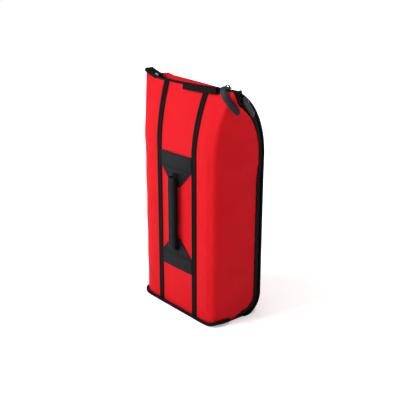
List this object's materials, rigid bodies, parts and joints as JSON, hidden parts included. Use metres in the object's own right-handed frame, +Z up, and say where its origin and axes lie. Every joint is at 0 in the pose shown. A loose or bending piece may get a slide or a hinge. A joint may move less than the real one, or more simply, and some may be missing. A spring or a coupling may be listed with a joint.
{
  "type": "fire blanket in carry case",
  "caption": "Soft red zipped carry case with a pinched ridge, black tape strips and a padded handle, holding a large folded fire blanket.",
  "frame": {"origin": "centre of the body's footprint, on the underside of the base panel", "axes": "+Z up to the ridge, -Y out of the front face that carries the handle, +X to the right of someone facing that front"},
  "size_m": [0.2951, 0.1497, 0.5047],
  "materials": {
    "red_woven_nylon": "woven, coated",
    "black_webbing": "woven tape",
    "black_piping": "bound edge",
    "zipper_tape": "woven tape",
    "zipper_coil": "nylon coil",
    "charcoal_cloth": "coated cloth",
    "foam": "closed cell foam",
    "grey_lining": "coated lining",
    "slider_metal": "black enamel",
    "pull_rubber": "moulded, matt",
    "blanket_cloth": "woven glass fibre"
  },
  "bodies": {
    "case": {"front_shell": "red_woven_nylon", "shell_lining": "grey_lining", "front_board": "foam", "base_panel": "black_webbing", "base_board": "foam", "hinge_strip": "black_webbing", "bottom_piping": "black_piping", "strip_left": "black_webbing", "strip_right": "black_webbing", "upper_band": "charcoal_cloth", "lower_band": "charcoal_cloth", "upper_anchor": "charcoal_cloth", "lower_anchor": "charcoal_cloth", "ridge_tab": "black_webbing", "ear_tab": "black_webbing", "shell_edge_piping_right": "black_piping", "shell_edge_piping_left": "black_piping", "shell_edge_piping_ridge": "black_piping", "shell_tape_right": "zipper_tape", "shell_tape_left": "zipper_tape", "shell_tape_ridge": "zipper_tape", "shell_coil_right": "zipper_coil", "shell_coil_left": "zipper_coil", "shell_coil_ridge": "zipper_coil"},
    "cover": {"back_panel": "red_woven_nylon", "back_lining": "grey_lining", "back_board": "foam", "cover_edge_piping_right": "black_piping", "cover_edge_piping_left": "black_piping", "cover_edge_piping_ridge": "black_piping", "cover_tape_right": "zipper_tape", "cover_tape_left": "zipper_tape", "cover_tape_ridge": "zipper_tape", "cover_coil_right": "zipper_coil", "cover_coil_left": "zipper_coil", "cover_coil_ridge": "zipper_coil"},
    "handle": {"handle_wrap": "charcoal_cloth", "handle_padding": "foam", "handle_strap": "black_webbing"},
    "first_slider": {"slider_a": "slider_metal"},
    "second_slider": {"slider_b": "slider_metal"},
    "first_pull": {"pull_a": "pull_rubber"},
    "second_pull": {"pull_b": "pull_rubber"},
    "blanket": {"folded_blanket": "blanket_cloth"}
  },
  "joints": [
    {"name": "blanket_lift", "type": "slide", "parent": "case", "child": "blanket", "axis": [0, 0.5, 0.866], "range_m": [0, 0.145]},
    {"name": "cover_open", "type": "hinge", "parent": "case", "child": "cover", "pos_m": [0, 0.05194, 0.01406], "axis": [-1, 0, 0], "range_deg": [0, 84]},
    {"name": "handle_pull", "type": "slide", "parent": "case", "child": "handle", "axis": [0, -1, 0], "range_m": [0, 0.022]},
    {"name": "slider_a_slide", "type": "slide", "parent": "case", "child": "first_slider", "axis": [-1, 0, 0], "range_m": [0, 0.195], "deforming": ["pull_a"]},
    {"name": "slider_b_slide", "type": "hinge", "parent": "case", "child": "second_slider", "pos_m": [0.15711, -0.07934, 0.35367], "axis": [-0.9689, -0.2474, 0], "range_deg": [0, 55]},
    {"name": "pull_a_swing", "type": "hinge", "parent": "first_slider", "child": "first_pull", "pos_m": [0.105, -0.038, 0.501], "axis": [-1, 0, 0], "range_deg": [0, 100]},
    {"name": "pull_b_swing", "type": "hinge", "parent": "second_slider", "child": "second_pull", "pos_m": [0.14829, -0.01003, 0.4753], "axis": [0.1225, -0.4798, -0.8688], "range_deg": [0, 120]}
  ],
  "couplings": [
    {"joint": "cover_open", "follows": "blanket_lift", "rad_per_m": 10}
  ]
}
